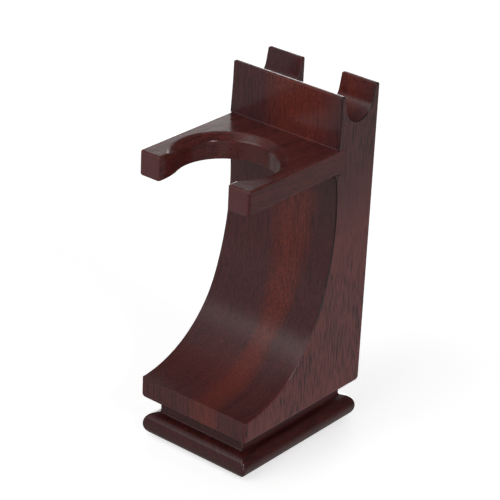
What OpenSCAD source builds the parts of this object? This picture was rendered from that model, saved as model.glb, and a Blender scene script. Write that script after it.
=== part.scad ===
// Wooden stand for a shaving brush and a safety razor.
// +Z is up, +X is to the right seen from the front, and the front faces -Y.
// The origin is the centre of the felt's underside, where the stand rests.

/* [Overall] */
// Width across the two cheeks
stand_w = 57; // [54:0.5:64]
// Depth of the block from its front lip to its back
block_d = 76.4; // [74:0.1:84]
// Height of the stand above the surface it rests on
stand_h = 157.1; // [154:0.1:162]

/* [Base board] */
// Thickness of the moulded board under the block
board_t = 17.8; // [17:0.1:19]
// Thickness of its round-nosed lower part
foot_t = 10.6; // [10:0.1:12]
// How far the round nose sits inside the block's faces
foot_inset = 0.1; // [0:0.1:2]
// How far the neck sits inside the block's faces
neck_inset = 5.9; // [4:0.1:8]
// Radius of the cove between the neck and the round nose
cove_r = 1.2; // [0.5:0.1:2]

/* [Felt] */
// Thickness of the felt under the base board
felt_t = 1.5; // [1:0.1:2]
// Depth of the recess that holds the felt
felt_recess = 1; // [0.5:0.1:1]
// Distance from the foot's edge to the felt
felt_margin = 7; // [6.5:0.5:12]

/* [Front sweep] */
// Depth of the sweep at its deepest point, behind the lip
belly_y = 52.4; // [50:0.1:54]
// Height of that point
belly_z = 103.2; // [101:0.1:105]
// Radius of the sweep above the turn
upper_r = 118; // [110:1:140]
// Radius of the sweep below the turn
lower_r = 50.3; // [46:0.1:51]
// Angle below level at which one radius runs into the other
turn = 21; // [18:0.5:24]
// Radius of the rounded lower edges of the block
arris_r = 2; // [1:0.1:3]

/* [Brush fork] */
// Height of the fork's underside
fork_z = 123.3; // [121:0.1:125]
// Thickness of the fork
fork_t = 10.9; // [9:0.1:12]
// How far the fork stands out in front of the lip
fork_overhang = 4.8; // [2:0.1:8]
// Depth of the fork's tongue inside the block
tongue_d = 5; // [4:0.1:5.5]
// Radius of the hole for the brush
brush_r = 21; // [20:0.1:22]
// Distance from the lip to the centre of that hole
brush_y = 16; // [14:0.1:18]
// Width of the mouth at the front of the fork
mouth_w = 35.4; // [30:0.1:38]
// Radius of the hole's bevel at the top face
rim_r = 24.1; // [23:0.1:25]
// Depth of the bevel
rim_d = 2.9; // [2:0.1:4]

/* [Back panel and cradle] */
// Distance from the lip to the front of the panel above the fork
panel_y = 51.5; // [50.5:0.1:52]
// Radius of the cradle's round bottom
cradle_r = 9.1; // [8:0.1:9.2]
// Distance from the lip to the middle of the cradle
cradle_y = 63.9; // [63.6:0.1:64.2]
// Height of the centre of the cradle's round bottom
cradle_z = 152.9; // [152:0.1:153.5]
// Outward lean of the cradle's walls in degrees
cradle_flare = 12; // [0:1:14]

/* [Handle channel] */
// Width of the channel, which is also the centre board's thickness
channel_w = 21; // [18:0.5:24]
// Distance from the lip to the floor of the channel
channel_y = 59; // [58:0.1:60]
// Height of the channel's lower end
channel_z = 46; // [42:0.5:52]
// Radius of the curved lower end
channel_end_r = 12; // [6:0.5:14]

/* [Fasteners] */
// Diameter of the fork dowels
dowel_d = 6; // [5:0.5:6.5]
// Length of the fork dowels
dowel_l = 24; // [20:0.5:26]
// Diameter of the base screws
screw_d = 4; // [3.5:0.1:4.5]
// Length of the base screws
screw_l = 28; // [25:0.5:29]

/* [Hidden] */
$fn = 96;

wood = [0.33, 0.13, 0.12];
wood_light = [0.38, 0.16, 0.14];
wood_dark = [0.26, 0.10, 0.10];
dowel_wood = [0.72, 0.55, 0.36];
steel = [0.72, 0.72, 0.74];
felt = [0.10, 0.10, 0.11];

eps = 0.01;
half_w = stand_w / 2;
cheek_t = (stand_w - channel_w) / 2;
board_z = felt_t - felt_recess;
block_z = board_z + board_t;
fork_top = fork_z + fork_t;
tongue_y = panel_y + tongue_d;
above = stand_h + 20;

// Centres of the sweep's two arcs, as distance behind the lip and height
upper_c = [belly_y - upper_r, belly_z];
lower_c = upper_c + (upper_r - lower_r) * [cos(turn), -sin(turn)];
turn_far = upper_c + 2 * upper_r * [cos(turn), -sin(turn)];

// Fasteners' places
dowel_x = channel_w / 2 + cheek_t / 2;
dowel_z = fork_z + fork_t / 2;
dowel_y = tongue_y - dowel_l * 0.6;
dowel_bevel = 0.8;
screw_x = channel_w / 2 + cheek_t / 3;
screw_ys = [16, 60];
screw_z = board_z + felt_recess;
clearance_d = screw_d + 0.3;
head_d = 2 * screw_d;
head_h = 2.4;
head_sink = 0.4;
tip_l = 5;
tip_d = 1;
drive_w = 1;
drive_d = 1.6;

felt_w = stand_w - 2 * (foot_inset + felt_margin);
felt_d = block_d - 2 * (foot_inset + felt_margin);
felt_corner = 4;

// Puts a shape drawn with y measured back from the lip into the stand's frame
module in_place() {
    translate([0, -block_d / 2, 0]) children();
}

// Extrudes an outline drawn as depth and height, from x0 across the width w
module across(x0, w) {
    translate([x0, 0, 0])
        rotate([90, 0, 90])
            linear_extrude(height = w) children();
}

// The space in front of the sweep, as depth and height
module sweep_space() {
    intersection() {
        translate(upper_c) circle(r = upper_r, $fn = 360);
        polygon([upper_c, turn_far, [turn_far.x, fork_top], [upper_c.x, fork_top]]);
    }
    intersection() {
        translate(lower_c) circle(r = lower_r, $fn = 180);
        polygon([upper_c, turn_far, [turn_far.x, 0], [upper_c.x, 0]]);
    }
}

// The razor cradle: a round bottom with walls that lean outwards from it
module cradle_space() {
    rise = above - cradle_z;
    tangent = cradle_r * [cos(cradle_flare), -sin(cradle_flare)];
    mouth = tangent.x + (rise - tangent.y) * tan(cradle_flare);
    translate([cradle_y, cradle_z]) {
        circle(r = cradle_r);
        polygon([[-tangent.x, tangent.y], [tangent.x, tangent.y], [mouth, rise], [-mouth, rise]]);
    }
}

// A corner piece that leaves a round of radius r; it lies towards +x and +y of the corner
module corner_waste(r) {
    difference() {
        translate([-1, -1]) square(r + 1);
        translate([r, r]) circle(r = r);
    }
}

// Side outline of the block, as depth and height
module block_outline() {
    difference() {
        translate([0, block_z]) square([block_d, stand_h - block_z]);
        sweep_space();
        translate([-1, fork_z]) square([tongue_y + 1, fork_t]);
        translate([-1, fork_top - eps]) square([panel_y + 1, above - fork_top]);
        cradle_space();
        translate([0, block_z]) corner_waste(arris_r);
        translate([block_d, block_z]) mirror([1, 0]) corner_waste(arris_r);
    }
}

// Holes for one fork dowel and for a row of screws at the given x
module dowel_hole(x) {
    translate([x, dowel_y, dowel_z])
        rotate([-90, 0, 0]) cylinder(d = dowel_d, h = dowel_l);
}

module pilot_holes(x) {
    for (y = screw_ys)
        translate([x, y, screw_z + screw_l - tip_l]) {
            mirror([0, 0, 1]) cylinder(d = screw_d, h = screw_l);
            cylinder(d1 = screw_d, d2 = tip_d, h = tip_l);
        }
}

// The right-hand cheek board; the left one is its mirror image
module cheek() {
    difference() {
        across(channel_w / 2, cheek_t) block_outline();
        translate([half_w, -eps, block_z])
            rotate([-90, 0, 0])
                mirror([0, 1, 0])
                    linear_extrude(height = block_d + 2 * eps)
                        mirror([1, 0]) corner_waste(arris_r);
        dowel_hole(dowel_x);
        pilot_holes(screw_x);
    }
}

module left_cheek() {
    color(wood) in_place() mirror([1, 0, 0]) cheek();
}

module right_cheek() {
    color(wood) in_place() cheek();
}

// The board between the cheeks, cut back behind for the razor's handle
module centre_board() {
    floor_z = channel_z + channel_end_r;
    color(wood_light) in_place()
        across(-channel_w / 2, channel_w)
            difference() {
                block_outline();
                translate([channel_y, floor_z])
                    square([block_d - channel_y + 1, above - floor_z]);
                translate([channel_y + channel_end_r, floor_z]) circle(r = channel_end_r);
                translate([channel_y + channel_end_r, channel_z])
                    square([block_d - channel_y, channel_end_r + eps]);
            }
}

// The fork: an open ring for the brush, with a tongue let into the block
module brush_fork() {
    fork_d = tongue_y + fork_overhang;
    color(wood_light) in_place()
        difference() {
            translate([-half_w, -fork_overhang, fork_z]) cube([stand_w, fork_d, fork_t]);
            translate([0, brush_y, fork_z - 1]) cylinder(r = brush_r, h = fork_t + 2);
            translate([-mouth_w / 2, -fork_overhang - 1, fork_z - 1])
                cube([mouth_w, fork_overhang + brush_y + 1, fork_t + 2]);
            translate([0, brush_y, fork_top - rim_d])
                cylinder(r1 = brush_r, r2 = rim_r, h = rim_d + eps);
            for (side = [-1, 1]) dowel_hole(side * dowel_x);
        }
}

// Two dowels that pin the fork's tongue to the cheeks
module fork_dowels() {
    body_l = dowel_l - 2 * dowel_bevel;
    color(dowel_wood) in_place()
        for (side = [-1, 1])
            translate([side * dowel_x, dowel_y, dowel_z])
                rotate([-90, 0, 0]) {
                    cylinder(d1 = dowel_d - 2 * dowel_bevel, d2 = dowel_d, h = dowel_bevel);
                    translate([0, 0, dowel_bevel]) cylinder(d = dowel_d, h = body_l);
                    translate([0, 0, dowel_bevel + body_l])
                        cylinder(d1 = dowel_d, d2 = dowel_d - 2 * dowel_bevel, h = dowel_bevel);
                }
}

// Cross-section of the base board for a block of the given width, centred on x
module board_outline(width) {
    nose_r = foot_t / 2;
    foot_half = width / 2 - foot_inset;
    neck_half = width / 2 - neck_inset;
    for (side = [-1, 1])
        translate([side * (foot_half - nose_r), nose_r]) circle(r = nose_r);
    translate([nose_r - foot_half, 0]) square([2 * (foot_half - nose_r), foot_t]);
    translate([-neck_half, foot_t / 2]) square([2 * neck_half, board_t - foot_t / 2]);
    for (side = [0, 1])
        mirror([side, 0])
            translate([neck_half, foot_t])
                difference() {
                    translate([-eps, -cove_r]) square([cove_r + eps, 2 * cove_r]);
                    translate([cove_r, cove_r]) circle(r = cove_r);
                }
}

// Outline of the felt, grown by the given amount
module felt_outline(grow) {
    long = felt_d + 2 * grow;
    wide = felt_w + 2 * grow;
    inner = [wide / 2 - felt_corner, long / 2 - felt_corner];
    translate([-wide / 2, -inner.y]) square([wide, 2 * inner.y]);
    translate([-inner.x, -long / 2]) square([2 * inner.x, long]);
    for (sx = [-1, 1], sy = [-1, 1])
        translate([sx * inner.x, sy * inner.y]) circle(r = felt_corner);
}

// One screw, head down, with its head's face at z = 0
module screw() {
    shank_l = screw_l - head_h - tip_l;
    difference() {
        union() {
            cylinder(d1 = head_d, d2 = screw_d, h = head_h);
            translate([0, 0, head_h]) cylinder(d = screw_d, h = shank_l);
            translate([0, 0, head_h + shank_l]) cylinder(d1 = screw_d, d2 = tip_d, h = tip_l);
        }
        for (turned = [0, 90])
            rotate([0, 0, turned])
                translate([-screw_d / 2, -drive_w / 2, -1]) cube([screw_d, drive_w, drive_d + 1]);
    }
}

// Moulded board: round nose, cove and neck in one piece, with mitred corners
module base_board() {
    color(wood_dark)
        difference() {
            translate([0, 0, board_z])
                intersection() {
                    translate([0, block_d / 2, 0])
                        rotate([90, 0, 0])
                            linear_extrude(height = block_d) board_outline(stand_w);
                    translate([-half_w, 0, 0])
                        rotate([90, 0, 90])
                            linear_extrude(height = stand_w) board_outline(block_d);
                }
            translate([0, 0, board_z - 1])
                linear_extrude(height = felt_recess + 1) felt_outline(0.3);
            in_place()
                for (x = [-screw_x, screw_x], y = screw_ys)
                    translate([x, y, screw_z]) {
                        cylinder(d = clearance_d, h = board_t);
                        translate([0, 0, head_sink])
                            cylinder(d1 = head_d, d2 = screw_d, h = head_h);
                        translate([0, 0, -eps]) cylinder(d = head_d, h = head_sink + 2 * eps);
                    }
        }
}

// Four countersunk screws from under the felt up into the cheeks
module base_screws() {
    color(steel) in_place()
        for (x = [-screw_x, screw_x], y = screw_ys)
            translate([x, y, screw_z + head_sink]) screw();
}

module felt_sheet() {
    color(felt) linear_extrude(height = felt_t) felt_outline(0);
}

left_cheek();
centre_board();
right_cheek();
brush_fork();
fork_dowels();
base_board();
base_screws();
felt_sheet();
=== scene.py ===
"""Looks of a wooden stand for a shaving brush and a safety razor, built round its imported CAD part.

Shapes are worked out in millimetres, with depth measured back from the block's front lip, as a joiner
would mark it. to_frame() turns such points into metres in the part's own frame.
"""

import math

import bmesh
import bpy
import numpy as np
from mathutils import Matrix, Vector


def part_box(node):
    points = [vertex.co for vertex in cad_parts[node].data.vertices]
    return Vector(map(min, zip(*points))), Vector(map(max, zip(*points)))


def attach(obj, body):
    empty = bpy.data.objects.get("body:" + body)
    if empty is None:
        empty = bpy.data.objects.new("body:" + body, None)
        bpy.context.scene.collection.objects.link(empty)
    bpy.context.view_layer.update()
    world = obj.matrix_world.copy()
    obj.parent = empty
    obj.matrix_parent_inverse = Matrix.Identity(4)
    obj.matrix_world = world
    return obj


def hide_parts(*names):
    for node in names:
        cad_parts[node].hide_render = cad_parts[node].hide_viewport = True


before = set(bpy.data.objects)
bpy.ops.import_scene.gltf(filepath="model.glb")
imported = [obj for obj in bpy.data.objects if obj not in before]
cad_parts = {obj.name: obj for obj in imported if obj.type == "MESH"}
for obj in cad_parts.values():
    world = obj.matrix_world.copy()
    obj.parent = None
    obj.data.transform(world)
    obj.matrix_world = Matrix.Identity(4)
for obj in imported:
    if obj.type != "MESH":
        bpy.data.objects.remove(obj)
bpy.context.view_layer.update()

MM = 0.001


def box_mm(node):
    """Lowest and highest corner of a CAD node, in millimetres."""
    low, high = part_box(node)
    return np.array(low) / MM, np.array(high) / MM


# Places that the frame gives
cheek_low, cheek_high = box_mm("right_cheek")
fork_low, fork_high = box_mm("brush_fork")
board_low, board_high = box_mm("base_board")
felt_low, felt_high = box_mm("felt_sheet")
LIP_Y = cheek_low[1]
HALF_W = cheek_high[0]
SLOT_HALF = cheek_low[0]
BLOCK_D = cheek_high[1] - LIP_Y
BLOCK_Z = cheek_low[2]
TOP_Z = cheek_high[2]
FORK_Z = fork_low[2]
FORK_TOP = fork_high[2]
FORK_FRONT = fork_low[1] - LIP_Y
TONGUE_Y = fork_high[1] - LIP_Y
BOARD_Z = board_low[2]
FOOT_INSET = HALF_W - board_high[0]

# Sizes that the part's source names
BELLY_Y, BELLY_Z = 52.4, 103.2
UPPER_R, LOWER_R, TURN = 118.0, 50.3, 21.0
PANEL_Y = 51.5
CRADLE_R, CRADLE_Y, CRADLE_Z, CRADLE_FLARE = 9.1, 63.9, 152.9, 12.0
CHANNEL_Y, CHANNEL_Z, CHANNEL_END_R = 59.0, 46.0, 12.0
BRUSH_R, BRUSH_Y, MOUTH_HALF = 21.0, 16.0, 17.7
RIM_R, RIM_D = 24.1, 2.9
FOOT_T, NECK_INSET, COVE_R = 10.6, 5.9, 1.2
FELT_RECESS, FELT_CORNER = 1.0, 4.0

# Roundings left by sanding and lacquer
ARRIS = 2.0
CORNER = 0.9
SWEEP_EDGE = 0.6
PANEL_EDGE = 0.8
TOP_EDGE = 0.8
CRADLE_EDGE = 0.45
JOINT_EDGE = 0.04
GLUED_EDGE = 0.03
FORK_EDGE = 0.9
TIP_R = 1.7
RIM_SOFT = 1.2
FILLET = 0.45
LIP_CORNER = 0.5
# Steps round such an edge
ROUND_STEPS = 6
# How much more an outline's corner is rounded than the edges that meet there, so that they fit round it
CORNER_SPARE = 0.2

# Where the mouth's wall starts to curve into the brush hole, behind the fork's front
MOUTH_START = 3.2
# Half the height of the soft crease at the foot of the brush hole's bevel
CREASE = 0.55
# Room between the felt and the side of its recess
FELT_ROOM = 0.3


def to_frame(points):
    """Points (x, depth, height) in millimetres as metres in the part's frame."""
    points = np.asarray(points, float)
    return (points + (0, LIP_Y, 0)) * MM


# ---------------------------------------------------------------- outlines and lofts

def arc(centre, radius, start, end, steps):
    """Points on an arc; the angles are in degrees from the first axis towards the second."""
    angles = np.radians(np.linspace(start, end, steps + 1))
    return [(centre[0] + radius * math.cos(a), centre[1] + radius * math.sin(a)) for a in angles]


def rounded(corners, steps=ROUND_STEPS):
    """A closed outline from rows (u, v, corner radius, edge values). Each corner is rounded by its radius.
    The edge values hold from that corner to the next and change evenly round the corner."""
    points, values = [], []
    for i, (u, v, radius, edge) in enumerate(corners):
        here = np.array((u, v), float)
        edge = np.array(edge, float)
        edge_before = np.array(corners[i - 1][3], float)
        if radius == 0:
            points.append(here)
            values.append(edge)
            continue
        back = np.array(corners[i - 1][:2]) - here
        ahead = np.array(corners[(i + 1) % len(corners)][:2]) - here
        back /= np.linalg.norm(back)
        ahead /= np.linalg.norm(ahead)
        half = math.acos(np.clip(back @ ahead, -1, 1)) / 2
        centre = here + (back + ahead) / np.linalg.norm(back + ahead) * radius / math.sin(half)
        first = here + back * radius / math.tan(half) - centre
        last = here + ahead * radius / math.tan(half) - centre
        sweep = math.pi - 2 * half
        for share in np.linspace(0, 1, steps + 1):
            weight = np.sin(((1 - share) * sweep, share * sweep)) / math.sin(sweep)
            points.append(centre + weight[0] * first + weight[1] * last)
            values.append(edge_before + share * (edge - edge_before))
    return np.array(points), np.array(values)


def outward(points):
    """Outward directions at the points of a closed outline that runs anticlockwise, stretched at corners
    so that a step along them moves both sides of the corner by the same distance."""
    side = np.roll(points, -1, 0) - points
    side /= np.linalg.norm(side, axis=1)[:, None]
    after = np.stack([side[:, 1], -side[:, 0]], 1)
    before = np.roll(after, 1, 0)
    cosine = (before * after).sum(1)
    return (before + after) / np.maximum(1 + cosine, 0.5)[:, None]


def loft(name, rings, edges):
    """A closed mesh through rings of points, capped at both ends. edges says how much each point lies on a
    rounded edge; the material rubs such edges paler with a painted highlight, and on the block's outer
    edges darkens them with painted shade.
    """
    mesh = bmesh.new()
    edge_mask = mesh.verts.layers.float.new("edge")
    rows = []
    for ring, ring_edges in zip(rings, edges):
        row = [mesh.verts.new(point) for point in ring]
        for vertex, value in zip(row, ring_edges):
            vertex[edge_mask] = value
        rows.append(row)
    count = len(rows[0])
    for lower, upper in zip(rows, rows[1:]):
        for i in range(count):
            j = (i + 1) % count
            mesh.faces.new((lower[i], lower[j], upper[j], upper[i]))
    mesh.faces.new(rows[0][::-1])
    mesh.faces.new(rows[-1])
    bmesh.ops.remove_doubles(mesh, verts=mesh.verts, dist=1e-7)
    bmesh.ops.recalc_face_normals(mesh, faces=mesh.faces)
    return as_object(name, mesh)


def as_object(name, mesh):
    """Turns a bmesh into a smoothly shaded object whose flat faces stay flat."""
    data = bpy.data.meshes.new(name)
    mesh.to_mesh(data)
    mesh.free()
    data.shade_smooth()
    made = bpy.data.objects.new(name, data)
    bpy.context.scene.collection.objects.link(made)
    weighting = made.modifiers.new("flat_faces", "WEIGHTED_NORMAL")
    weighting.weight = 100
    weighting.keep_sharp = False
    return made


def finish_piece(piece, node, material):
    """Puts a finished piece in the place of its CAD node."""
    piece.data.materials.clear()
    piece.data.materials.append(material)
    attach(piece, "root")
    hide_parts(node)


# ---------------------------------------------------------------- the block's three boards

def block_front(outer, inner):
    """Corners of the block's front, from the front of the cradle down to the lip, with the roundings of
    the board's outer edge at the panel, joint, sweep and lip, and of its inner edge."""
    upper_centre = np.array((BELLY_Y - UPPER_R, BELLY_Z))
    turn = math.radians(TURN)
    lower_centre = upper_centre + (UPPER_R - LOWER_R) * np.array((math.cos(turn), -math.sin(turn)))
    fork_angle = math.degrees(math.asin((FORK_Z - BELLY_Z) / UPPER_R))
    lip_angle = -math.degrees(math.acos(-lower_centre[0] / LOWER_R))
    upper = arc(upper_centre, UPPER_R, fork_angle, -TURN, 28)
    lower = arc(lower_centre, LOWER_R, -TURN, lip_angle, 40)
    fillet = arc((PANEL_Y - FILLET, FORK_TOP + FILLET), FILLET, 0, -90, 4)
    rows = [(PANEL_Y, TOP_Z, TOP_EDGE, (outer["panel"], inner))]
    rows += [(y, z, 0, (outer["joint"], inner)) for y, z in fillet]
    rows += [(TONGUE_Y, FORK_TOP, 0, (outer["joint"], inner)),
             (TONGUE_Y, FORK_Z, 0, (outer["joint"], inner))]
    rows += [(y, z, 0, (outer["sweep"], inner)) for y, z in upper[:-1] + lower[:-1]]
    rows.append((*lower[-1], LIP_CORNER, (outer["lip"], inner)))
    return rows


def cradle_wall():
    """Distance from the cradle's middle to its wall at the top."""
    flare = math.radians(CRADLE_FLARE)
    rise = TOP_Z - CRADLE_Z + CRADLE_R * math.sin(flare)
    return CRADLE_R * math.cos(flare) + rise * math.tan(flare)


def cheek_shape():
    """Outline of a cheek, as depth and height, with the roundings of its outer and inner edges."""
    outer = {"panel": PANEL_EDGE, "joint": JOINT_EDGE, "sweep": SWEEP_EDGE, "lip": CORNER}
    wall = cradle_wall()
    blend = 1.0
    free_after = 1.5
    horn_foot = TOP_Z - 6
    rows = [(0, BLOCK_Z, ARRIS + CORNER_SPARE, (ARRIS, GLUED_EDGE)),
            (BLOCK_D, BLOCK_Z, ARRIS + CORNER_SPARE, (CORNER, GLUED_EDGE)),
            (BLOCK_D, CHANNEL_Z - blend, 0, (CORNER, GLUED_EDGE)),
            (BLOCK_D, CHANNEL_Z + blend, 0, (CORNER, CRADLE_EDGE)),
            (BLOCK_D, horn_foot, 0, (CORNER, CRADLE_EDGE)),
            (BLOCK_D, TOP_Z, TOP_EDGE + 0.15, (TOP_EDGE, TOP_EDGE)),
            (CRADLE_Y + wall, TOP_Z, TOP_EDGE, (CRADLE_EDGE, CRADLE_EDGE))]
    for y, z in arc((CRADLE_Y, CRADLE_Z), CRADLE_R, -CRADLE_FLARE, CRADLE_FLARE - 180, 36):
        free = np.clip((y - CHANNEL_Y) / free_after, 0, 1)
        rows.append((y, z, 0, (CRADLE_EDGE, GLUED_EDGE + free * (CRADLE_EDGE - GLUED_EDGE))))
    rows.append((CRADLE_Y - wall, TOP_Z, TOP_EDGE, (TOP_EDGE, GLUED_EDGE)))
    return rounded(rows + block_front(outer, GLUED_EDGE))


def centre_shape():
    """Outline of the centre board, which is cut back behind for the handle."""
    edge = (GLUED_EDGE, GLUED_EDGE)
    outer = dict.fromkeys(("panel", "joint", "sweep", "lip"), GLUED_EDGE)
    floor_centre = (CHANNEL_Y + CHANNEL_END_R, CHANNEL_Z + CHANNEL_END_R)
    drop = math.sqrt(CRADLE_R ** 2 - (CRADLE_Y - CHANNEL_Y) ** 2)
    start = math.degrees(math.atan2(-drop, CHANNEL_Y - CRADLE_Y))
    rows = [(0, BLOCK_Z, ARRIS + CORNER_SPARE, edge),
            (BLOCK_D, BLOCK_Z, ARRIS + CORNER_SPARE, edge),
            (BLOCK_D, CHANNEL_Z, 0.6, edge)]
    rows += [(y, z, 0, edge) for y, z in arc(floor_centre, CHANNEL_END_R, -90, -180, 20)]
    rows.append((CHANNEL_Y, CRADLE_Z - drop, 0.4, edge))
    rows += [(y, z, 0, edge)
             for y, z in arc((CRADLE_Y, CRADLE_Z), CRADLE_R, start, CRADLE_FLARE - 180, 12)[1:]]
    rows.append((CRADLE_Y - cradle_wall(), TOP_Z, TOP_EDGE, edge))
    return rounded(rows + block_front(outer, GLUED_EDGE))


def board(name, shape, inner_x, outer_x):
    """A board with the given outline between two faces, each with its own rounding along the outline. An
    edge with a rounding of under 0.15 mm isn't marked, and one of 0.45 mm or more is marked fully, as a
    rubbed edge with a painted highlight and, on the block's outer faces, painted shade."""
    outline, radii = shape
    normals = outward(outline)
    side = math.copysign(1, outer_x - inner_x)
    turns = np.linspace(0, math.pi / 2, ROUND_STEPS + 1)
    rings, edges = [], []
    for face_x, away, radius, order in ((inner_x, side, radii[:, 1], turns),
                                        (outer_x, -side, radii[:, 0], turns[::-1])):
        for turn in order:
            points = outline - normals * (radius * (1 - math.sin(turn)))[:, None]
            x = face_x + away * radius * (1 - math.cos(turn))
            rings.append(to_frame(np.column_stack([x, points])))
            edges.append(math.sin(2 * turn) * np.clip(radius / 0.3 - 0.5, 0, 1))
    return loft(name, rings, edges)


# ---------------------------------------------------------------- the brush fork

def mouth_blend(hole_r, wall):
    """Radius and middle of the curve that leads from the mouth's straight wall into the round hole. It
    leaves the wall MOUTH_START behind the fork's front, whatever the hole's radius."""
    depth = BRUSH_Y - FORK_FRONT - MOUTH_START
    radius = (depth ** 2 - hole_r ** 2 + wall ** 2) / (2 * (hole_r - wall))
    return radius, (-wall - radius, BRUSH_Y - depth)


def fork_outline(inset, hole_r):
    """Outline of the fork at one height, as x and depth, moved in by inset from its full size."""
    half = HALF_W - inset
    joint_inset = inset * JOINT_EDGE / FORK_EDGE
    tongue_half = HALF_W - joint_inset
    back = TONGUE_Y - joint_inset
    front = FORK_FRONT + inset
    wall = MOUTH_HALF + inset
    radius, middle = mouth_blend(hole_r, wall)
    turn = math.degrees(math.atan2(BRUSH_Y - middle[1], -middle[0]))
    left = [(-tongue_half, back, 0.1, (0,)),
            (-tongue_half, PANEL_Y + 0.1, 0, (0,)),
            (-half, PANEL_Y - 0.5, 0, (1,)),
            (-half, front, TIP_R - inset, (1,)),
            (-wall, front, TIP_R - 0.5 - inset / 2, (1,))]
    left += [(x, y, 0, (1,)) for x, y in arc(middle, radius, 0, turn, 14)[:-1]]
    hole = [(x, y, 0, (1,)) for x, y in arc((0, BRUSH_Y), hole_r, 180 + turn, -turn, 96)]
    right = [(-x, y, corner, edge) for x, y, corner, edge in reversed(left)]
    return rounded(left + hole + right)


def fork_levels():
    """Heights up the fork, with the outline's inset, its share of rubbed edge with a painted highlight, and
    the hole's radius at each.
    """
    bevel_z = FORK_TOP - RIM_D
    slope = (RIM_R - BRUSH_R) / RIM_D
    tilt = math.atan(slope)
    soft_z = FORK_TOP - RIM_SOFT * (1 - math.cos(tilt))
    soft_r = RIM_R + RIM_SOFT * math.tan(tilt / 2)

    def hole_at(z):
        if z <= bevel_z - CREASE:
            return BRUSH_R
        if z <= bevel_z + CREASE:
            return BRUSH_R + slope * (z - bevel_z + CREASE) ** 2 / (4 * CREASE)
        if z <= soft_z:
            return BRUSH_R + slope * (z - bevel_z)
        return soft_r - math.sqrt(max(RIM_SOFT ** 2 - (z - FORK_TOP + RIM_SOFT) ** 2, 0))

    rise = [(FORK_EDGE * (1 - math.cos(t)), FORK_EDGE * (1 - math.sin(t)), math.sin(2 * t))
            for t in np.linspace(0, math.pi / 2, ROUND_STEPS + 1)]
    levels = [(FORK_Z + up, inset, wear_and_highlight, BRUSH_R + inset / 2) for up, inset, wear_and_highlight in rise]
    bend = np.linspace(bevel_z - CREASE, bevel_z + CREASE, 8)
    bevel = np.linspace(bevel_z + CREASE, FORK_TOP - FORK_EDGE, 5)[1:-1]
    levels += [(z, 0, 0, hole_at(z)) for z in (*bend, *bevel)]
    levels += [(FORK_TOP - down, inset, wear_and_highlight, hole_at(FORK_TOP - down))
               for down, inset, wear_and_highlight in rise[::-1]]
    return levels


def brush_fork():
    """The fork, in one loft from its underside to its top."""
    rings, edges = [], []
    for z, inset, wear_and_highlight, hole_r in fork_levels():
        outline, edge_mask = fork_outline(inset, hole_r)
        rings.append(to_frame(np.column_stack([outline, np.full(len(outline), z)])))
        edges.append(wear_and_highlight * edge_mask[:, 0])
    return loft("brush_fork_wood", rings, edges)


# ---------------------------------------------------------------- base board and felt

def plan(inset, corner, z, half=(HALF_W, BLOCK_D / 2)):
    """A rounded rectangle of points in the part's frame, moved in by inset from the block's faces."""
    x, y = half[0] - inset, half[1] - inset
    outline, _ = rounded([(sx * x, sy * y, corner, (0,))
                          for sx, sy in ((1, -1), (1, 1), (-1, 1), (-1, -1))], steps=8)
    return np.column_stack([outline, np.full(len(outline), z)]) * MM


def base_board():
    """The moulded board: felt recess, round nose, cove and neck."""
    nose_r = FOOT_T / 2
    nose_inset = FOOT_INSET + nose_r
    reach = nose_r + COVE_R
    inward = nose_inset - NECK_INSET + COVE_R
    lift = math.sqrt(reach ** 2 - inward ** 2)
    meet = math.degrees(math.atan2(lift, inward))
    recess_half = np.array((felt_high[0], felt_high[1])) + FELT_ROOM
    chamfer = 0.15
    rings = [plan(0, FELT_CORNER, BOARD_Z + FELT_RECESS, recess_half),
             plan(0, FELT_CORNER, BOARD_Z + chamfer, recess_half),
             plan(-chamfer, FELT_CORNER, BOARD_Z, recess_half)]
    edges = [np.zeros(len(rings[0]))] * 3
    for angle in np.linspace(-90, meet, 40):
        turn = math.radians(angle)
        proud = max(0, math.cos(turn)) ** 2
        rings.append(plan(nose_inset - nose_r * math.cos(turn), 0.3 + 1.2 * proud,
                          BOARD_Z + nose_r + nose_r * math.sin(turn)))
        # the nose's outermost band counts as a rubbed edge, with a painted highlight
        edges.append(np.full(len(rings[0]), 0.25 * proud))
    for angle in np.linspace(180 + meet, 180, 8)[1:]:
        turn = math.radians(angle)
        rings.append(plan(NECK_INSET - COVE_R - COVE_R * math.cos(turn), 0.35,
                          BOARD_Z + nose_r + lift + COVE_R * math.sin(turn)))
        edges.append(np.zeros(len(rings[0])))
    rings.append(plan(NECK_INSET, 0.6, board_high[2]))
    edges.append(np.zeros(len(rings[0])))
    return loft("base_board_wood", rings, edges)


def felt():
    """The felt, flat with soft edges."""
    half = (felt_high[0], felt_high[1])
    soft = 0.35
    turns = np.linspace(0, math.pi / 2, 4)
    rings = [plan(soft * (1 - math.sin(t)), FELT_CORNER, felt_low[2] + soft * (1 - math.cos(t)), half)
             for t in turns]
    rings += [plan(soft * (1 - math.sin(t)), FELT_CORNER, felt_high[2] - soft * (1 - math.cos(t)), half)
              for t in turns[::-1]]
    return loft("felt_pad", rings, [np.zeros(len(rings[0]))] * len(rings))


# ---------------------------------------------------------------- materials

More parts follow.
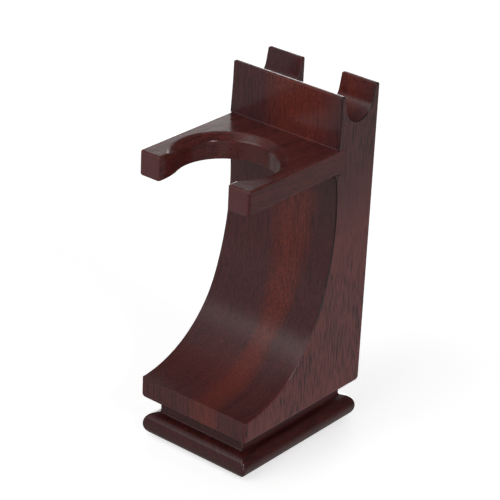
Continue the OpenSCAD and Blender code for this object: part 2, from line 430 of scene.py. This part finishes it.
# Colours of the stained wood
DEEP = (0.070, 0.0135, 0.0140, 1)  # the darker layers and fibres
MID = (0.150, 0.0280, 0.0250, 1)  # the lighter ones
LIGHT = (0.195, 0.0330, 0.0250, 1)  # the redder stripe, left clear of the painted reflection, and large lighter clouds
FLECK = (0.340, 0.0620, 0.0300, 1)  # bright specks of cut cells
PORE = (0.022, 0.0058, 0.0066, 1)  # pores, streaks, stain and the painted shade along the outer edges
PAINTED_HAZE = (0.084, 0.0300, 0.0350, 1)  # painted reflection: a greyer haze beside the stripe
PAINTED_FLOOR_LIGHT = (0.330, 0.0780, 0.0720, 1)  # painted light from the floor, paler on the outer faces
PAINTED_SHEEN = (0.165, 0.0490, 0.0530, 1)  # painted reflection: a paler, more even sheen on an end face
WORN_AND_HIGHLIGHT = (0.320, 0.1000, 0.0750, 1)  # rubbed edges, with a painted highlight along them

# How fast each pattern in the wood changes: across the grain and along it, per millimetre
DRIFT_SCALE = (0.035, 0.012)
PATCH_SCALE = (0.045, 0.022)
CLOUD_SCALE = (0.05, 0.02)
FIBRE_SCALE = (1.3, 0.055)
PORE_SCALE = (1.9, 0.15)
SPECKLE_SCALE = (2.1, 0.75)
PEEL_SCALE = (0.35, 0.20)
# The same for what follows the growth layers, whose first scale is per millimetre from the pith
BAND_SCALE = (0.55, 0.006)
STREAK_SCALE = (2.2, 0.03)

# How far the growth layers wander, in millimetres
DRIFT = 6.0

# The redder stripe that the painted reflection leaves clear: half its width where it is narrowest, the
# height of that place above the ground, how much half the width grows for each millimetre above or below
# it, and how far its edge jumps from fibre to fibre
STRIPE_HALF, STRIPE_WAIST, STRIPE_FLARE, STRIPE_JAG = 4.8, 45.0, 0.11, 9.0
# The painted reflection beside it, a greyer haze: the heights between which it sets in, and its share
# below and above them
HAZE_HEIGHTS, HAZE_SHARES = (22.0, 50.0), (0.10, 0.65)
# Painted light from the floor, paler low in the outer faces: the depths below them at which it starts
# and is complete, the heights between which it fades, and its share below and above them
SKIN_DEPTHS, FLOOR_LIGHT_HEIGHTS, FLOOR_LIGHT_SHARES = (0.5, 0.1), (85.0, 125.0), (0.54, 0.08)
# Painted shade, a dark line along the block's rounded outer edges: the depths below the faces at which
# it starts and is complete, the heights between which it sets in, and its strength below and above them
EDGE_SHADE_DEPTHS, EDGE_SHADE_HEIGHTS, EDGE_SHADE_STRENGTHS = (0.7, 0.5), (48.0, 66.0), (0.0, 1.4)

# A painted reflection on an end face, paler and more even: the depths below it between which its colour
# fades, and its share in the surface
SHEEN_DEPTHS, SHEEN_SHARE = (0.2, 0.6), 0.75
# How deep the relief of the grain and that of the lacquer are, in metres, and how strongly they show
RELIEF_DEPTH, RELIEF_STRENGTH = 0.00006, 0.35


class Nodes:
    """A node tree, with short ways to add and join nodes."""

    def __init__(self, owner):
        owner.use_nodes = True
        self.tree = owner.node_tree
        self.tree.nodes.clear()

    def add(self, kind, inputs=(), **settings):
        """Adds a node. Each of its inputs is joined to a socket or set to a constant."""
        node = self.tree.nodes.new("ShaderNode" + kind)
        for key, value in settings.items():
            setattr(node, key, value)
        for key, value in dict(inputs).items():
            if isinstance(value, bpy.types.NodeSocket):
                self.tree.links.new(value, node.inputs[key])
            else:
                node.inputs[key].default_value = value
        return node

    def calc(self, operation, *values, clamp=False):
        inputs = dict(enumerate(values))
        return self.add("Math", inputs, operation=operation, use_clamp=clamp).outputs[0]

    def spread(self, value, low, high, to_low=0.0, to_high=1.0):
        """Value mapped from low-high to to_low-to_high and kept in that range."""
        inputs = {"Value": value, "From Min": low, "From Max": high, "To Min": to_low, "To Max": to_high}
        return self.add("MapRange", inputs, interpolation_type="SMOOTHSTEP").outputs["Result"]


class Shader(Nodes):
    """A material, with short ways to place noise and mix colours in it."""

    def __init__(self, name):
        self.material = bpy.data.materials.new(name)
        super().__init__(self.material)

    def point(self, x, y, z):
        return self.add("CombineXYZ", {"X": x, "Y": y, "Z": z}).outputs[0]

    def noise(self, where, scale=1.0, detail=2.0, roughness=0.5):
        node = self.add("TexNoise", {"Vector": where, "Scale": scale, "Detail": detail,
                                     "Roughness": roughness})
        return node.outputs["Fac"]

    def mix(self, share, first, second):
        """A mix of two colours. The node's colour sockets have numbers here, because its other sockets
        share their names."""
        return self.add("Mix", {0: share, 6: first, 7: second}, data_type="RGBA").outputs[2]

    def object_mm(self):
        """Place in millimetres, as three outputs."""
        place = self.add("TexCoord").outputs["Object"]
        scaled = self.add("VectorMath", {0: place, 3: 1 / MM}, operation="SCALE").outputs[0]
        return self.add("SeparateXYZ", {"Vector": scaled}).outputs

    def scaled(self, *scales):
        """Place in millimetres, times a scale along each axis."""
        return self.point(*(self.calc("MULTIPLY", place, scale)
                            for place, scale in zip(self.object_mm(), scales)))

    def output(self, shader):
        self.add("OutputMaterial", {"Surface": shader})
        return self.material


class Wood(Shader):
    """The patterns of stained mahogany, solid in three dimensions. grain is the axis along which the tree
    grew, pith is where the tree's centre lies across that axis, and taper leans the growth layers over, so
    that they show as arches on a face that is sawn along them. seed keeps one piece's patterns apart from
    another's."""

    def __init__(self, name, grain, pith, taper, seed):
        super().__init__(name)
        x, y, z = self.object_mm()
        self.u, self.v, self.along = (x, y, z) if grain == "Z" else (x, z, y)
        self.seed = seed

        # growth layers round the pith, which wander a little, and the dark streaks that follow them
        du = self.calc("SUBTRACT", self.u, pith[0])
        dv = self.calc("SUBTRACT", self.v, pith[1])
        square = self.calc("ADD", self.calc("MULTIPLY", du, du), self.calc("MULTIPLY", dv, dv))
        wander = self.noise(self.stretched(DRIFT_SCALE), detail=2.0)
        self.drift = self.calc("MULTIPLY", self.calc("SUBTRACT", wander, 0.5), DRIFT)
        layer = self.calc("ADD", self.calc("SQRT", square), self.drift)
        layer = self.calc("ADD", layer, self.calc("MULTIPLY", self.along, taper))
        bands = self.noise(self.layered(layer, BAND_SCALE, seed), detail=2.0, roughness=0.55)
        streak_at = self.layered(layer, STREAK_SCALE, self.calc("ADD", self.u, self.v))
        streaks = self.spread(self.noise(streak_at, detail=2.5, roughness=0.55), 0.44, 0.66)
        patches = self.noise(self.stretched(PATCH_SCALE, 5.0), detail=1.0)
        self.streaks = self.calc("MULTIPLY", streaks, self.spread(patches, 0.38, 0.62, 0.30, 1.0))

        # straight fibre, open pores seen as short dark dashes, and the speckle of cut cells between them
        self.fibre = self.noise(self.stretched(FIBRE_SCALE), detail=3.0, roughness=0.6)
        pits = self.noise(self.stretched(PORE_SCALE, 2.0), detail=1.0, roughness=0.4)
        self.pores = self.spread(pits, 0.56, 0.66)
        self.speckle = self.noise(self.stretched(SPECKLE_SCALE, 9.0), detail=2.0, roughness=0.55)
        self.cloud = self.noise(self.stretched(CLOUD_SCALE, 7.0), detail=2.0)
        fine = self.calc("ADD", self.calc("MULTIPLY", self.fibre, 0.45),
                         self.calc("MULTIPLY", self.speckle, 0.20))
        self.tone = self.calc("ADD", self.calc("MULTIPLY", bands, 0.35), fine)

    def stretched(self, scale, shift=0.0):
        """A place to read noise at, with its own scale across the grain and along it. The shift keeps
        patterns apart."""
        across, lengthways = scale
        return self.point(self.calc("MULTIPLY", self.u, across),
                          self.calc("MULTIPLY_ADD", self.v, across, self.seed + shift),
                          self.calc("MULTIPLY", self.along, lengthways))

    def layered(self, layer, scale, third):
        """A place to read noise at that follows the growth layers."""
        outward_scale, lengthways = scale
        return self.point(self.calc("MULTIPLY", layer, outward_scale), third,
                          self.calc("MULTIPLY", self.along, lengthways))

    def relief(self, height):
        """The normal of a surface with a fine relief."""
        return self.add("Bump", {"Height": height, "Strength": RELIEF_STRENGTH,
                                 "Distance": RELIEF_DEPTH}).outputs[0]

    def under_face(self, start, complete):
        """How much of a layer that starts and is complete at these depths below the block's outer faces
        each place has."""
        return self.spread(self.calc("ABSOLUTE", self.u), HALF_W - start, HALF_W - complete)

    def lacquered(self, body):
        """The finished material: wood of the given colour under a satin-gloss coat that sinks a little into
        its pores."""
        grain = self.calc("SUBTRACT", self.calc("MULTIPLY", self.fibre, 0.4),
                          self.calc("MULTIPLY", self.pores, 0.8))
        grain_bump = self.relief(grain)
        peel = self.noise(self.stretched(PEEL_SCALE), detail=1.0)
        film = self.calc("SUBTRACT", self.calc("MULTIPLY", peel, 1.2),
                         self.calc("MULTIPLY", self.pores, 0.30))
        film = self.calc("ADD", film, self.calc("MULTIPLY", self.speckle, 0.45))
        film_bump = self.relief(film)
        surface = self.add("BsdfPrincipled", {
            "Base Color": body, "Roughness": self.spread(self.tone, 0.3, 0.7, 0.58, 0.46),
            "Specular IOR Level": 0.1, "Normal": grain_bump, "Coat Weight": 1.0,
            "Coat Roughness": 0.15, "Coat IOR": 1.5, "Coat Normal": film_bump})
        return self.output(surface.outputs[0])


def painted_haze_and_floor_light(s, body, stripe_at):
    """Colour of a block with a redder stripe, a painted reflection on both sides of it as a greyer haze,
    and painted light from the floor, paler low in the outer faces. Also gives how much of the stripe and of
    the outer faces each place has."""
    jagged = s.calc("MULTIPLY_ADD", s.calc("SUBTRACT", s.fibre, 0.5), STRIPE_JAG,
                    s.calc("MULTIPLY", s.drift, 0.8))
    off = s.calc("ABSOLUTE", s.calc("ADD", s.calc("SUBTRACT", s.u, stripe_at), jagged))
    from_waist = s.calc("ABSOLUTE", s.calc("SUBTRACT", s.along, STRIPE_WAIST))
    half = s.calc("MULTIPLY_ADD", from_waist, STRIPE_FLARE, STRIPE_HALF)
    warm = s.spread(s.calc("DIVIDE", off, half), 0.40, 1.35, 1.0, 0.0)
    skin = s.under_face(*SKIN_DEPTHS)
    haze = s.calc("MULTIPLY", s.calc("SUBTRACT", 1.0, warm), s.spread(s.along, *HAZE_HEIGHTS, *HAZE_SHARES))
    # painted light from the floor: paler low on the outer faces
    floor_light = s.calc("MULTIPLY", skin, s.spread(s.along, *FLOOR_LIGHT_HEIGHTS, *FLOOR_LIGHT_SHARES))
    # painted reflection: a greyer haze beside the stripe
    body = s.mix(haze, body, PAINTED_HAZE)
    body = s.mix(s.calc("MULTIPLY", warm, 0.66), body, LIGHT)
    return s.mix(floor_light, body, PAINTED_FLOOR_LIGHT), warm, skin


def wood(name, grain, pith, taper, seed, stripe_at=None, stain=0.0, sheen_face=None):
    """Lacquered mahogany, with the patterns of Wood. Given a place across the grain, measured along the
    first axis, it gets a redder stripe there with a painted reflection beside it, painted light from the
    floor on the outer faces and painted shade along the rounded outer edges. stain is how much the piece is
    darkened.
    Given a place along the grain, the end face there gets a painted reflection: a paler, more even sheen."""
    s = Wood(name, grain, pith, taper, seed)
    body = s.mix(s.spread(s.tone, 0.34, 0.64), DEEP, MID)
    flecks = s.calc("MULTIPLY", s.spread(s.speckle, 0.48, 0.70), 0.30)
    streak_share = 0.50
    # With a stripe: more specks in it, a painted reflection beside it and painted light from the floor
    if stripe_at is not None:
        body, warm, skin = painted_haze_and_floor_light(s, body, stripe_at)
        streak_share = s.calc("MULTIPLY_ADD", skin, 0.36, 0.44)
        flecks = s.calc("MULTIPLY", flecks, s.calc("MULTIPLY_ADD", warm, 1.9, 0.3))
    body = s.mix(flecks, body, FLECK)
    body = s.mix(s.calc("MULTIPLY", s.spread(s.cloud, 0.42, 0.70), 0.20), body, LIGHT)
    dark = s.calc("ADD", s.calc("MULTIPLY", s.streaks, streak_share),
                  s.calc("MULTIPLY", s.pores, 0.35), clamp=True)
    body = s.mix(dark, body, PORE)
    body = s.mix(stain, body, PORE)
    # painted reflection: a paler, more even sheen on the end face
    if sheen_face is not None:
        start, complete = SHEEN_DEPTHS
        front_sheen = s.spread(s.along, sheen_face + start, sheen_face + complete, SHEEN_SHARE, 0.0)
        body = s.mix(front_sheen, body, PAINTED_SHEEN)
    # rubbed edges, paler, with a painted highlight along them
    edge_mask = s.add("Attribute", attribute_name="edge").outputs["Fac"]
    body = s.mix(s.calc("MULTIPLY", edge_mask, s.spread(s.fibre, 0.35, 0.7, 0.02, 0.16)), body, WORN_AND_HIGHLIGHT)
    # painted shade: a dark line along the block's rounded outer edges, from partway up
    if stripe_at is not None:
        edge_shade = s.calc("MULTIPLY", s.calc("MULTIPLY", edge_mask, s.under_face(*EDGE_SHADE_DEPTHS)),
                     s.spread(s.along, *EDGE_SHADE_HEIGHTS, *EDGE_SHADE_STRENGTHS), clamp=True)
        body = s.mix(edge_shade, body, PORE)
    return s.lacquered(body)


def felt_material():
    """Black felt: matt, with a fine fuzz."""
    s = Shader("felt")
    x, y, z = s.object_mm()
    place = s.point(x, y, z)
    fuzz = s.noise(place, scale=3.0, detail=5.0, roughness=0.7)
    tufts = s.noise(place, scale=0.5, detail=3.0)
    colour = s.mix(s.calc("ADD", s.calc("MULTIPLY", fuzz, 0.6), s.calc("MULTIPLY", tufts, 0.4)),
                   (0.006, 0.006, 0.007, 1), (0.030, 0.029, 0.031, 1))
    bump = s.add("Bump", {"Height": fuzz, "Strength": 0.8, "Distance": 0.0003})
    surface = s.add("BsdfPrincipled", {"Base Color": colour, "Roughness": 0.95, "Specular IOR Level": 0.1,
                                       "Sheen Weight": 0.4, "Sheen Roughness": 0.6,
                                       "Normal": bump.outputs[0]})
    return s.output(surface.outputs[0])


def steel_material():
    """Zinc-plated steel, with fine lines round the screw."""
    s = Shader("zinc_steel")
    lines = s.noise(s.scaled(1.5, 1.5, 9.0), detail=3.0)
    colour = s.mix(lines, (0.42, 0.41, 0.38, 1), (0.66, 0.65, 0.62, 1))
    bump = s.add("Bump", {"Height": lines, "Strength": 0.4, "Distance": 0.00004})
    surface = s.add("BsdfPrincipled", {"Base Color": colour, "Metallic": 1.0,
                                       "Roughness": s.spread(lines, 0.2, 0.8, 0.28, 0.45),
                                       "Normal": bump.outputs[0]})
    return s.output(surface.outputs[0])


def bare_wood_material():
    """Bare beech, whose grain and short flecks run along the dowels."""
    s = Shader("beech")
    streaks = s.noise(s.scaled(1.4, 0.12, 1.4), detail=4.0)
    flecks = s.spread(s.noise(s.scaled(5.0, 0.5, 5.0)), 0.58, 0.7)
    colour = s.mix(streaks, (0.42, 0.25, 0.13, 1), (0.60, 0.42, 0.25, 1))
    colour = s.mix(s.calc("MULTIPLY", flecks, 0.4), colour, (0.30, 0.16, 0.08, 1))
    bump = s.add("Bump", {"Height": streaks, "Strength": 0.3, "Distance": 0.00005})
    surface = s.add("BsdfPrincipled", {"Base Color": colour,
                                       "Roughness": s.spread(streaks, 0.2, 0.8, 0.6, 0.75),
                                       "Normal": bump.outputs[0]})
    return s.output(surface.outputs[0])


# ---------------------------------------------------------------- the pieces

block_wood = wood("mahogany_block", "Z", (-120.0, -8.0), 0.06, 3.7, stripe_at=6.5)
fork_wood = wood("mahogany_fork", "Y", (34.0, 96.0), 0.05, 11.3, sheen_face=LIP_Y + FORK_FRONT)
base_wood = wood("mahogany_base", "Y", (-40.0, -60.0), 0.04, 19.9, stain=0.50)

for hand, side in (("left", -1), ("right", 1)):
    cheek = board(hand + "_cheek_wood", cheek_shape(), side * SLOT_HALF, side * HALF_W)
    finish_piece(cheek, hand + "_cheek", block_wood)
centre_board = board("centre_board_wood", centre_shape(), -SLOT_HALF, SLOT_HALF)
finish_piece(centre_board, "centre_board", block_wood)
finish_piece(brush_fork(), "brush_fork", fork_wood)
finish_piece(base_board(), "base_board", base_wood)
finish_piece(felt(), "felt_sheet", felt_material())

for node, material in (("base_screws", steel_material()), ("fork_dowels", bare_wood_material())):
    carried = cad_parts[node]
    carried.data.materials.clear()
    carried.data.materials.append(material)


# ---------------------------------------------------------------- camera, floor and light

# Where the camera stands, in degrees: round from the front towards the right, up, and rolled over
CAMERA_TURN = (38.839, 26.334, 2.734)
# What it points at, how far it is from there, and its lens, in millimetres
CAMERA_AIM = (-2.26, -2.43, 84.57)
CAMERA_DISTANCE = 905.5
CAMERA_LENS, CAMERA_FILM = 157.515, 36

# How much the floor glows, and how bright the camera sees the room behind it
FLOOR_GLOW = 0.64
BACKDROP = 1.0
# Half the floor's width, in metres
FLOOR_REACH = 12

# The lights: azimuth from the front towards the right, elevation and reach in degrees, and strength
LIGHTS = [(0, -90, 110, 0.25), (0, 90, 100, 0.08), (345, 42, 26, 1.95), (325, 15, 26, 0.24),
          (337, 62, 24, 0.31), (270, 82, 30, 0.34), (202, 60, 24, 0.39), (212, 0, 26, 5.5),
          (195, 22, 22, 0.60), (50, 0, 26, 1.10), (80, 0, 24, 1.00), (285, -5, 22, 1.25),
          (15, 18, 24, 0.36), (340, -22, 34, 0.14), (160, -22, 30, 0.14), (300, 40, 24, 0.28),
          (75, 36, 7, 20.0)]


def camera():
    """A long lens, a little above the stand and to the right of its front."""
    azimuth, elevation, roll = (math.radians(angle) for angle in CAMERA_TURN)
    back = Vector((math.sin(azimuth) * math.cos(elevation), -math.cos(azimuth) * math.cos(elevation),
                   math.sin(elevation)))
    right = Vector((math.cos(azimuth), math.sin(azimuth), 0))
    up = back.cross(right)
    rightward = math.cos(roll) * right + math.sin(roll) * up
    upward = back.cross(rightward)
    data = bpy.data.cameras.new("camera")
    data.lens = CAMERA_LENS
    data.sensor_width = CAMERA_FILM
    data.clip_start, data.clip_end = 0.01, 50
    made = bpy.data.objects.new("camera", data)
    turned = Matrix((rightward, upward, back)).transposed().to_4x4()
    place = Vector(CAMERA_AIM) * MM + back * (CAMERA_DISTANCE * MM)
    made.matrix_world = Matrix.Translation(place) @ turned
    bpy.context.scene.collection.objects.link(made)
    bpy.context.scene.camera = made


def floor():
    """A wide white floor, which glows a little so that it stays pale. Only the camera sees it: the lower
    half of the world lights the stand from below in its place."""
    mesh = bmesh.new()
    bmesh.ops.create_grid(mesh, x_segments=1, y_segments=1, size=FLOOR_REACH)
    data = bpy.data.meshes.new("floor")
    mesh.to_mesh(data)
    mesh.free()
    s = Shader("white_floor")
    grain = s.noise(s.add("TexCoord").outputs["Object"], scale=3.0)
    colour = s.mix(grain, (0.90, 0.90, 0.90, 1), (0.93, 0.93, 0.93, 1))
    surface = s.add("BsdfPrincipled", {"Base Color": colour, "Roughness": 1.0, "Specular IOR Level": 0.0,
                                       "Emission Color": (1, 1, 1, 1), "Emission Strength": FLOOR_GLOW})
    data.materials.append(s.output(surface.outputs[0]))
    made = bpy.data.objects.new("floor", data)
    made.visible_glossy = False
    made.visible_diffuse = False
    made.visible_shadow = False
    bpy.context.scene.collection.objects.link(made)


class Studio(Nodes):
    """The world: a plain room whose glow is a sum of soft round lights at great distance."""

    def __init__(self):
        self.world = bpy.data.worlds.new("studio")
        super().__init__(self.world)
        self.toward = self.add("TexCoord").outputs["Generated"]
        self.total = None

    def light(self, azimuth, elevation, reach, strength):
        """Adds a round light. It fades out between half its reach and its reach, in degrees."""
        a, e = math.radians(azimuth), math.radians(elevation)
        middle = (math.sin(a) * math.cos(e), -math.cos(a) * math.cos(e), math.sin(e))
        facing = self.add("VectorMath", {0: self.toward, 1: middle}, operation="DOT_PRODUCT")
        glow = self.spread(facing.outputs["Value"], math.cos(math.radians(reach)),
                           math.cos(math.radians(reach / 2)), 0.0, strength)
        if self.total is not None:
            glow = self.calc("ADD", self.total, glow)
        self.total = glow

    def finish(self, backdrop):
        """Lights the scene. The camera itself sees a plain pale backdrop."""
        seen = self.add("LightPath").outputs["Is Camera Ray"]
        strength = self.add("Mix", {"Factor": seen, "A": self.total, "B": backdrop}).outputs["Result"]
        background = self.add("Background", {"Strength": strength})
        self.add("OutputWorld", {"Surface": background.outputs[0]})
        bpy.context.scene.world = self.world


camera()
floor()
studio = Studio()
for light in LIGHTS:
    studio.light(*light)
studio.finish(BACKDROP)
bpy.context.scene.view_settings.view_transform = "Standard"
